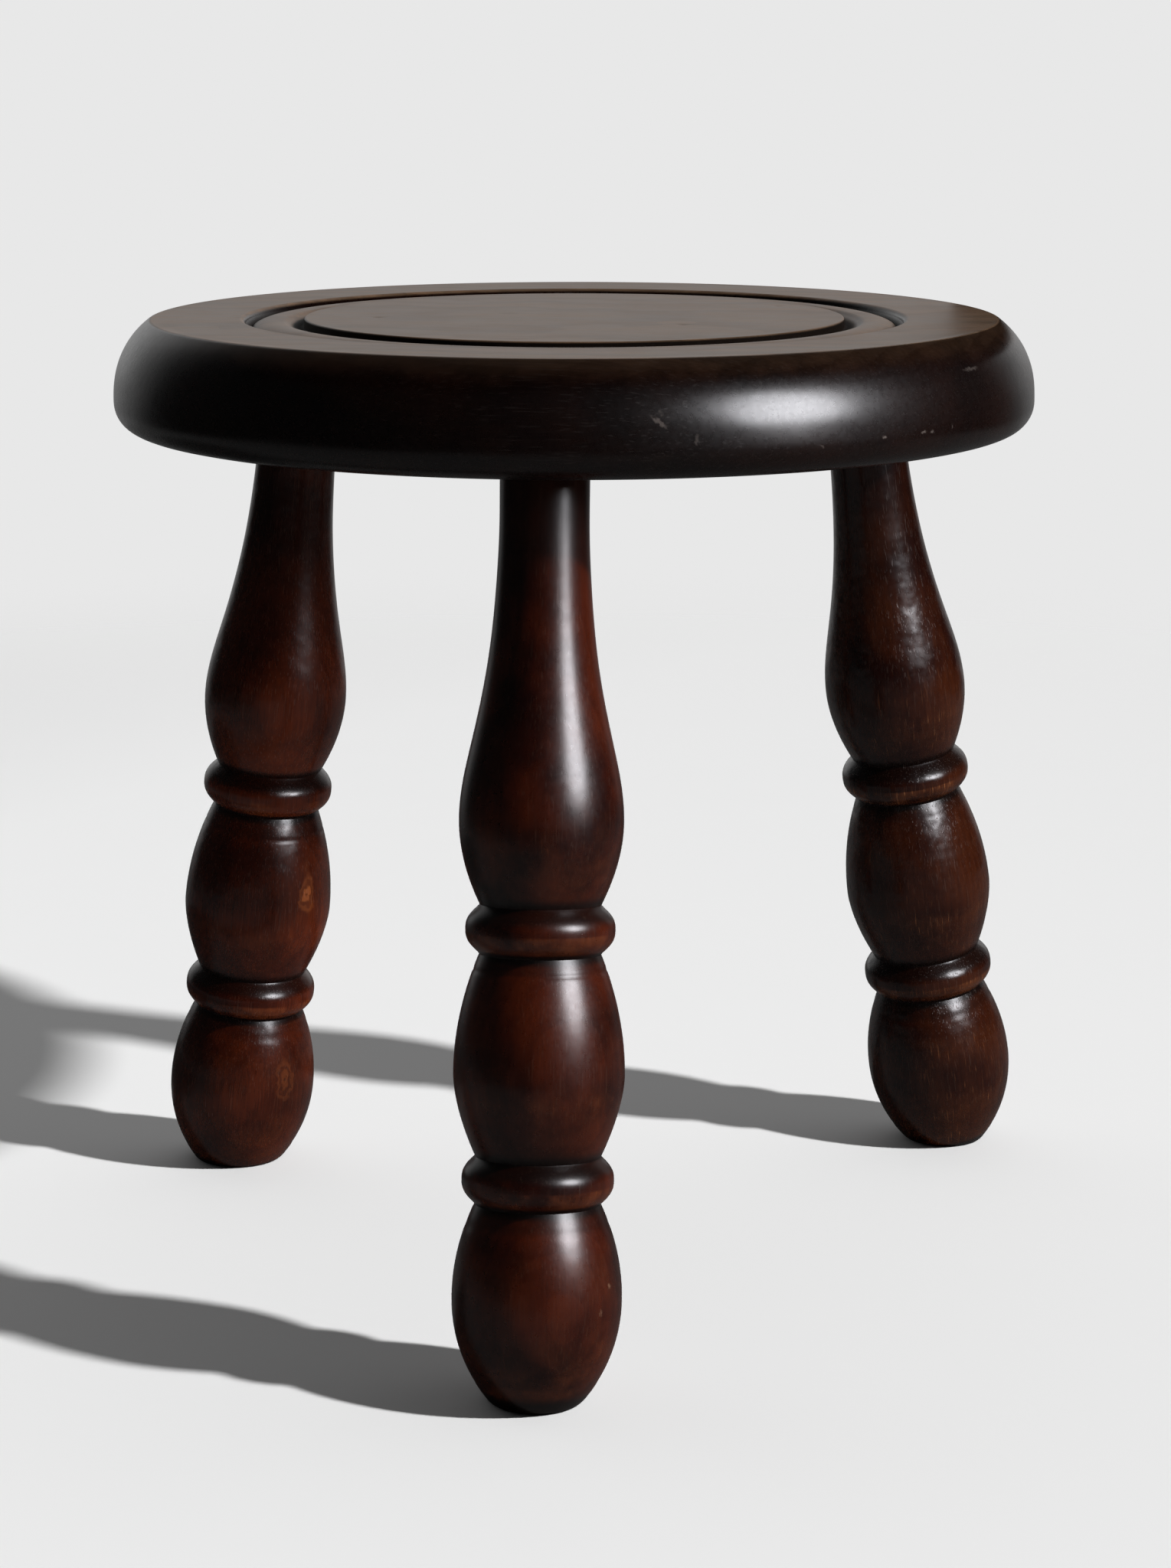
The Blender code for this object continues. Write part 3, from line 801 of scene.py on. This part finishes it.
def socketCutter(place):
    depth, margin = socketDepth(place), jointLook["margin"]
    radius = legLook["neckRadius"] + jointLook["clearance"]
    turns = allRound(jointLook["socketSides"])
    ends = [[(radius * math.cos(turn), radius * math.sin(turn), height) for turn in turns]
            for height in (depth, -margin)]
    socket = addObject("socket", meshFromRings("socket", ends, (0, 0, depth), (0, 0, -margin)))
    settle(socket, place)
    return socket


def makeSeat():
    look = seatLook
    turns = allRound(look["columns"])
    rings = [[seatPoint(radius, height, turn) for turn in turns] for radius, height in seatRows()]
    middle = look["top"] - look["topWave"]
    mesh = meshFromRings("seatBoard", rings, (0.0, 0.0, middle), (0.0, 0.0, underside))
    seat = addObject("seatBoard", mesh)
    seat.location = seatAxis
    cutAway(seat, [socketCutter(place) for place in legPlaces.values()])
    shadeTurned(seat.data, look["sharpAngle"])
    markSeat(seat.data)
    seat.data.materials.clear()
    seat.data.materials.append(stainWood("seatStain", seatFinish))
    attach(seat, "root")
    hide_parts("seat")
    return seat


seat = makeSeat()
print("seat turned:", len(seat.data.polygons), "faces")


# legs, from the tenon down: neck, vase, ring, barrel, ring, foot
def legLevels():
    look = legLook
    longest = max(underside / math.cos(math.radians(place["lean"])) for place in legPlaces.values())
    level = {"footWidest": look["footTip"] - longest - look["footTrim"]}
    level["footTop"] = level["footWidest"] + look["footUpper"]
    level["barrelBottom"] = level["footTop"] + look["lowerRing"]
    level["barrelWidest"] = level["barrelBottom"] + look["barrelLower"]
    level["barrelTop"] = level["barrelWidest"] + look["barrelUpper"]
    level["vaseBottom"] = level["barrelTop"] + look["upperRing"]
    level["vaseWidest"] = level["vaseBottom"] + look["vaseLower"]
    return level


def ringRows(ringRadius, waist, top, length):
    look = legLook
    count = look["steps"]["ring"]
    rows = []
    for step in range(1, count + 1):
        share = step / count
        bump = (1 - abs(1 - 2 * share) ** look["ringFullness"]) ** look["ringFlank"]
        rows.append((waist + (ringRadius - waist) * bump, top - length * share))
    return rows


def legRows(place, tenon):
    look = legLook
    steps = look["steps"]
    level = legLevels()
    neck, chamfer = look["neckRadius"], jointLook["chamfer"]
    neckEnd = (neck, -look["neckLength"])
    vase = (look["vaseRadius"], level["vaseWidest"])
    barrel = (look["barrelRadius"], level["barrelWidest"])
    foot = (look["footRadius"], level["footWidest"])
    upperWaist, lowerWaist = look["upperWaist"], look["lowerWaist"]
    rows = [(neck - chamfer, tenon), (neck, tenon - chamfer)]
    rows += [(neck, height) for height in look["neckRows"]]
    fall = neckEnd[1] - vase[1]
    pulls = [(neck, neckEnd[1] - look["neckEase"] * fall), (vase[0], vase[1] + look["vaseEase"] * fall)]
    rows += [neckEnd] + bend([neckEnd, *pulls, vase], steps["taper"])
    rows += swell(vase, (upperWaist, level["vaseBottom"]), look["vaseFullness"], steps["lower"])
    rows += ringRows(look["upperRingRadius"], upperWaist, level["vaseBottom"], look["upperRing"])
    rise = swell(barrel, (upperWaist, level["barrelTop"]), look["barrelUpperFullness"], steps["barrelUpper"])
    for radius, height in rise[-2::-1]:  # a sharp score near the top of the barrel
        away = abs(height - level["barrelTop"] + place["barrelScore"]) / look["scoreHalfWidth"]
        rows.append((radius - place["scoreDepth"] * max(0.0, 1.0 - away), height))
    rows.append(barrel)
    rows += swell(barrel, (lowerWaist, level["barrelBottom"]), look["barrelLowerFullness"], steps["lower"])
    rows += ringRows(look["lowerRingRadius"], lowerWaist, level["barrelBottom"], look["lowerRing"])
    rise = swell(foot, (lowerWaist, level["footTop"]), look["footFullness"], steps["footUpper"])
    for radius, height in rise[-2::-1]:  # a soft score near the top of the foot
        away = (height - level["footTop"] + look["footScore"]) / look["footScoreHalf"]
        rows.append((radius - look["footScoreDepth"] * max(0.0, 1.0 - away * away), height))
    return rows


# the curve below the widest line, run down to the floor on one side, then the cut flat
def footRows(place, angle):
    look = legLook
    steps = look["steps"]
    lean, start = legAxis(place)[1:]
    footWidest = legLevels()["footWidest"]

    def tip(turn):
        return (look["footRadius"] - look["footArc"] * (1 - math.cos(turn)),
                footWidest - look["footArc"] * math.sin(turn))

    def floorHeight(radius):
        return -(start.z + math.sin(lean) * radius * math.cos(angle)) / math.cos(lean)

    low, high = 0.0, math.asin(look["footTip"] / look["footArc"]) + look["footSlack"]
    for _ in range(steps["halvings"]):
        middle = (low + high) / 2
        radius, height = tip(middle)
        low, high = (middle, high) if height > floorHeight(radius) else (low, middle)
    rounded = low - look["footRound"] / look["footArc"]
    rows = [tip(rounded * step / steps["footLower"]) for step in range(steps["footLower"] + 1)]
    inside = tip(low)[0] - look["footRound"]
    rows += bend([rows[-1], tip(low), (inside, floorHeight(inside))], steps["footRound"])
    rows += [(inside * part, floorHeight(inside * part)) for part in look["footFlat"]]
    return rows


legFinish = {
    "turn": nought, "ringWidth": 3.1, "round": True,
    "deep": (0.009, 0.0008, 0.0002), "warm": (0.050, 0.0071, 0.0014), "worn": (0.088, 0.0205, 0.0055),
    # the grime tint also darkens grooves and shaded parts as painted shade
    "fleckTint": (0.13, 0.036, 0.011), "grimeAndShadeTint": (0.003, 0.001, 0.0006), "nickTint": (0.22, 0.13, 0.08),
    "rubbed": 0.8, "flecks": 0.6, "rings": 0.25, "fibres": 0.28,
    "scratchPale": 0.03, "scratchDull": 0.12,
    "rough": 0.29, "roughSpread": 0.02, "grimeAndShadeRough": 0.31, "shine": 0.5,
    "rise": {"fibre": 0.001, "peel": 0.002, "wave": 0.05, "scratch": -0.003, "fleck": -0.001},
    # painted shade: the neck darkens between these heights, where the seat shades it
    "neckDark": (-46.0, -6.0), "neckShadeShare": 0.8,  # the neck darkens between these heights
    "footShadeShare": 0.0,
}
legFigure = {
    "front": {"shift": nought, "pith": (70.0, 30.0, 0.0), "pithTilt": (3.0, -2.0, 0.0),
              "scratchTurns": [(30.0, 0.0, 0.0), (-55.0, 0.0, 20.0)],
              "nicks": [((11.5, 22.5, -243.0), (0.8, 0.8, 1.2), nought, 0.28),
                        ((15.3, 20.1, -250.4), (0.8, 0.8, 1.5), nought, 0.25)]},
    "right": {"shift": (140.0, 60.0, 33.0), "pith": (-190.0, -20.0, 0.0), "pithTilt": (-3.0, 2.0, 0.0),
              "scratchTurns": [(40.0, 20.0, 0.0), (-45.0, 10.0, 0.0)], "scratchDull": 0.3,
              "warm": (0.034, 0.0072, 0.0019), "worn": (0.072, 0.020, 0.006),
              "flecks": 0.9, "fleckTint": (0.28, 0.11, 0.042),
              "rough": 0.24, "roughSpread": 0.03, "grimeAndShadeRough": 0.26,
              "rise": {"fibre": 0.001, "peel": 0.006, "wave": 0.32, "scratch": -0.018, "fleck": -0.001},
              # painted shade down the upper leg, under the seat
              "neckDark": (-105.0, -30.0), "neckShadeShare": 0.5},
    # the left leg's colours are partly its own redder wood and partly painted light, standing in for the lamp
    # that the seat keeps off its upper part; its foot, which the lamp reaches, gets painted shade
    "left": {"shift": (-90.0, 170.0, 71.0), "pith": (52.0, -135.0, 0.0), "pithTilt": (5.0, 5.0, 0.0),
             "scratchTurns": [(40.0, -10.0, 0.0), (-60.0, 20.0, 0.0)], "scratchDull": 0.2,
             "deep": (0.030, 0.0036, 0.0006), "warm": (0.100, 0.0150, 0.0026), "worn": (0.13, 0.028, 0.0065),
             "fibres": 0.5, "rough": 0.24, "grimeAndShadeRough": 0.26,
             "rise": {"fibre": 0.001, "peel": 0.005, "wave": 0.2, "scratch": -0.01, "fleck": -0.001},
             # painted shade down the upper leg under the seat, and on the foot
             "neckDark": (-120.0, -45.0), "neckShadeShare": 0.75, "footShadeShare": 0.35,
             "knotTint": (0.40, 0.105, 0.026),
             "knots": [((-24.8, 5.5, -171.0), 4.2, 1.0),  # place, size, strength
                       ((-24.6, 6.0, -160.0), 3.0, 0.5),
                       ((-24.0, 8.0, -241.0), 5.5, 0.22)]},
}

# grooves and the parts under a swelling are darkened, partly grime and partly painted shade, and crests are
# rubbed; lengths in millimetres
legMarks = {
    "slots": 1200, "wide": 8.0, "fine": 2.2,  # a row is compared with the rows this far off
    "wideGroove": (0.5, 2.0), "fineGroove": (0.06, 0.3),
    "crest": (0.05, 0.6), "crestDrop": 5.0,  # a swelling is rubbed most just below its widest line
    # grime and painted shade on the upper part of each ring; painted shade on the band just under a ring
    "ringPart": 0.7, "ringBlack": (0.42, 0.2), "ringGrimeAndShade": 0.85,
    "bandBelow": 2.0, "bandEase": 1.5, "overhangShade": 0.45,
    # painted shade at the top of every neck, under the seat
    "seatShade": (-26.0, -5.0), "seatShadeShare": 0.8,
    "footEase": 4.0, "most": 0.95,
}


def radiusTable(rows, top, bottom, slots):
    table = [0.0] * (slots + 1)
    for radius, height in rows:
        slot = round((top - height) / (top - bottom) * slots)
        table[slot] = max(table[slot], radius)
    known = [slot for slot in range(slots + 1) if table[slot] > 0]
    for first, second in zip(known, known[1:]):
        for slot in range(first, second):
            share = (slot - first) / (second - first)
            table[slot] = table[first] * (1 - share) + table[second] * share
    return table


def standing(table, half):  # how far each slot stands out from those near it
    out = []
    for slot, radius in enumerate(table):
        near = table[max(0, slot - half):slot + half + 1]
        out.append(radius - sum(near) / len(near))
    return out


# painted shade under each swelling: the upper part of each ring, with grime in it too, and the band above
# each score, under the ring
def overhangShade(groove, height, place, level):
    marks, look = legMarks, legLook
    for top, length in ((level["vaseBottom"], look["upperRing"]), (level["barrelBottom"], look["lowerRing"])):
        below = (top - height) / length
        if 0.0 < below < marks["ringPart"]:  # the upper part of each ring is blackest
            groove = marks["ringGrimeAndShade"] * ease(below, *marks["ringBlack"])
    for top, depth in ((level["barrelTop"], place["barrelScore"]), (level["footTop"], look["footScore"])):
        score = top - depth
        if score - marks["bandBelow"] < height < top:  # the band above each score is dark too
            share = ease(height, score - marks["bandEase"], score + marks["bandEase"])
            groove = max(groove, marks["overhangShade"] * share)
    return groove


def markLeg(mesh, rows, place, finish):
    marks = legMarks
    heights = [row[1] for row in rows]
    top, bottom = max(heights), min(heights)
    slots = marks["slots"]
    table = radiusTable(rows, top, bottom, slots)
    wide, fine = (standing(table, round(marks[key] / (top - bottom) * slots)) for key in ("wide", "fine"))
    drop = round(marks["crestDrop"] / (top - bottom) * slots)
    level = legLevels()
    footEdges = (level["footTop"] + marks["footEase"], level["footTop"] - marks["footEase"])
    wear, grimeAndShade = [], []
    for vertex in mesh.vertices:
        height = vertex.co.z / mm
        slot = min(slots, max(0, round((top - height) / (top - bottom) * slots)))
        # grooves are darkened: partly grime, partly painted shade
        groove = max(ease(-wide[slot], *marks["wideGroove"]), ease(-fine[slot], *marks["fineGroove"]))
        groove = overhangShade(groove, height, place, level)
        # painted shade where the seat shades the neck and upper leg; footShade is painted shade on a foot
        # that the lamp reaches
        neckShade = max(finish["neckShadeShare"] * ease(height, *finish["neckDark"]),
                        marks["seatShadeShare"] * ease(height, *marks["seatShade"]))
        footShade = finish["footShadeShare"] * ease(height, *footEdges)
        grimeAndShade.append(min(1.0, max(groove, neckShade, footShade) * marks["most"]))
        wear.append(ease(wide[max(0, slot - drop)], *marks["crest"]) * (1.0 - groove))
    writeMarks(mesh, {"wear": wear, "grimeAndShade": grimeAndShade})


def turnLeg(name, place, angles, profiles, trueFrom):
    look = legLook
    azimuth, lean, start = legAxis(place)
    rings = []
    for row in range(len(profiles[0])):
        ring = []
        for angle, profile in zip(angles, profiles):
            radius, height = profile[row]
            if height < 0 and row < trueFrom:  # never quite round, never quite smooth
                spot = (math.cos(angle) * look["wobbleRound"] + azimuth * look["wobbleApart"],
                        math.sin(angle) * look["wobbleRound"], height * look["wobbleAlong"])
                radius += look["wobble"] * (noise.noise(spot) - 1) * ease(-height, *look["wobbleFrom"])
            ring.append((radius * math.cos(angle), radius * math.sin(angle), height))
        rings.append(ring)
    topMiddle, soleMiddle = profiles[0][0][1], -start.z / math.cos(lean)
    leg = addObject(name, meshFromRings("leg", rings, (0.0, 0.0, topMiddle), (0.0, 0.0, soleMiddle)))
    settle(leg, place)
    bpy.context.view_layer.update()
    return leg


def cutKerf(leg, azimuth, tenon):  # saw kerf for the wedge in the end of the tenon
    joint = jointLook
    clearance, margin = joint["clearance"], joint["margin"]
    slope = (joint["wedgeButt"] - joint["wedgeTip"]) / joint["wedgeLength"]
    length = joint["wedgeLength"] + clearance + margin
    butt = joint["wedgeButt"] + 2 * clearance + slope * margin
    tip = joint["wedgeTip"] + 2 * clearance - slope * clearance
    breadth = 2 * (legLook["neckRadius"] + margin)
    shape = bmesh.new()
    bmesh.ops.create_cube(shape, size=1.0)
    for corner in shape.verts:
        thick = butt if corner.co.z > 0 else tip
        corner.co = Vector((corner.co.x * thick, corner.co.y * breadth, (corner.co.z - 0.5) * length)) * mm
    mesh = bpy.data.meshes.new("kerf")
    shape.to_mesh(mesh)
    shape.free()
    kerf = addObject("kerf", mesh)
    inLeg = Matrix.Translation((0, 0, (tenon + margin) * mm)) @ Matrix.Rotation(-azimuth, 4, "Z")
    kerf.matrix_world = leg.matrix_world @ inLeg
    cutAway(leg, [kerf])


def makeLeg(side):
    look, place = legLook, legPlaces[side]
    tenon = socketDepth(place) - jointLook["clearance"]
    upper = legRows(place, tenon)
    angles = allRound(look["columns"])
    profiles = [upper + footRows(place, angle) for angle in angles]
    leg = turnLeg(side + "Leg", place, angles, profiles, len(upper) + look["wobbleFootRows"])
    cutKerf(leg, math.radians(place["azimuth"]), tenon)
    shadeTurned(leg.data, look["sharpAngle"])
    finish = {**legFinish, **legFigure[side]}
    turned = profiles[0][:len(upper) + look["steps"]["footLower"] + 1]
    markLeg(leg.data, turned, place, finish)
    leg.data.materials.clear()
    leg.data.materials.append(stainWood(side + "LegStain", finish, leg.location, leg.rotation_euler))
    leg.data.transform(leg.matrix_world)
    leg.matrix_world = Matrix.Identity(4)
    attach(leg, "root")
    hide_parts("leg_" + side)
    return leg


for side in legPlaces:
    leg = makeLeg(side)
    print(side, "leg turned:", len(leg.data.polygons), "faces")


# wedges, hidden in the tenons: bare sawn beech
wedgeLook = {
    "pale": (0.46, 0.30, 0.17), "dark": (0.33, 0.19, 0.10), "fleckTint": (0.28, 0.15, 0.08),
    "fibre": {"draw": (1.4, 1.4, 0.06), "detail": 3.0, "rough": 0.65}, "fibrous": (0.3, 0.7),
    "fleck": {"draw": (1.2, 1.2, 0.3), "detail": 1.0}, "flecked": (0.6, 0.72), "fleckShare": 0.7,
    "saw": {"draw": (0.2, 0.2, 2.2), "detail": 2.0}, "sawn": (0.2, 0.8), "sawnRough": (0.62, 0.8),
    "sawRise": 0.04,
}


def bareWood():
    look = wedgeLook
    material, tree, shader = newMaterial("bareBeech")
    grain = stretch(tree, put(tree, "ShaderNodeTexCoord").outputs["Object"], [perMetre] * 3)
    fibre = grains(tree, grain, look["fibre"])
    fleck = span(tree, grains(tree, grain, look["fleck"]), *look["flecked"])
    saw = grains(tree, grain, look["saw"])
    colour = tint(tree, span(tree, fibre, *look["fibrous"]), look["dark"], look["pale"])
    colour = tint(tree, sums(tree, "MULTIPLY", fleck, look["fleckShare"]), colour, look["fleckTint"])
    rough = span(tree, saw, *look["sawn"], *look["sawnRough"])
    height = sums(tree, "MULTIPLY", sums(tree, "ADD", saw, fibre), look["sawRise"])
    dress(tree, shader, colour, rough, height)
    return material


bare = bareWood()
for side in legPlaces:
    wedge = frame["nodes"]["wedge_" + side]
    for holder in wedge.material_slots:
        holder.material = bare
print("wedges finished")
